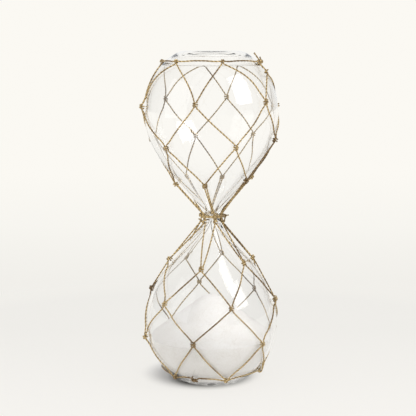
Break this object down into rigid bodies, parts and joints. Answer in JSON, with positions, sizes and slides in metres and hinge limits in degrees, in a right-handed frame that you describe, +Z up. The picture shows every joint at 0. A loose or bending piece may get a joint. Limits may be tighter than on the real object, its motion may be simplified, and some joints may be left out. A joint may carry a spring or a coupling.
{
  "type": "hourglass",
  "caption": "Frameless blown-glass hourglass with white sand, wrapped in a hand-knotted twine net that is tied at the waist. It stands on either flat end.",
  "frame": {"origin": "centre of the flat foot that it stands on", "axes": "+Z up through the neck, -Y towards the viewer of the front, +X to the viewer's right"},
  "size_m": [0.0845, 0.0831, 0.2],
  "materials": {
    "clear_glass": "clear blown glass, smooth and polished",
    "white_sand": "fine dry white quartz sand",
    "hemp_twine": "thin twisted natural hemp twine, slightly waxed, golden tan"
  },
  "bodies": {
    "root": {"glass_body": "clear_glass", "fill_plug": "clear_glass", "sand_heap": "white_sand", "top_ring_cord": "hemp_twine", "bottom_ring_cord": "hemp_twine", "waist_tie_cord": "hemp_twine", "net_cord_1": "hemp_twine", "net_cord_2": "hemp_twine", "net_cord_3": "hemp_twine", "net_cord_4": "hemp_twine", "net_cord_5": "hemp_twine", "net_cord_6": "hemp_twine"}
  },
  "joints": []
}
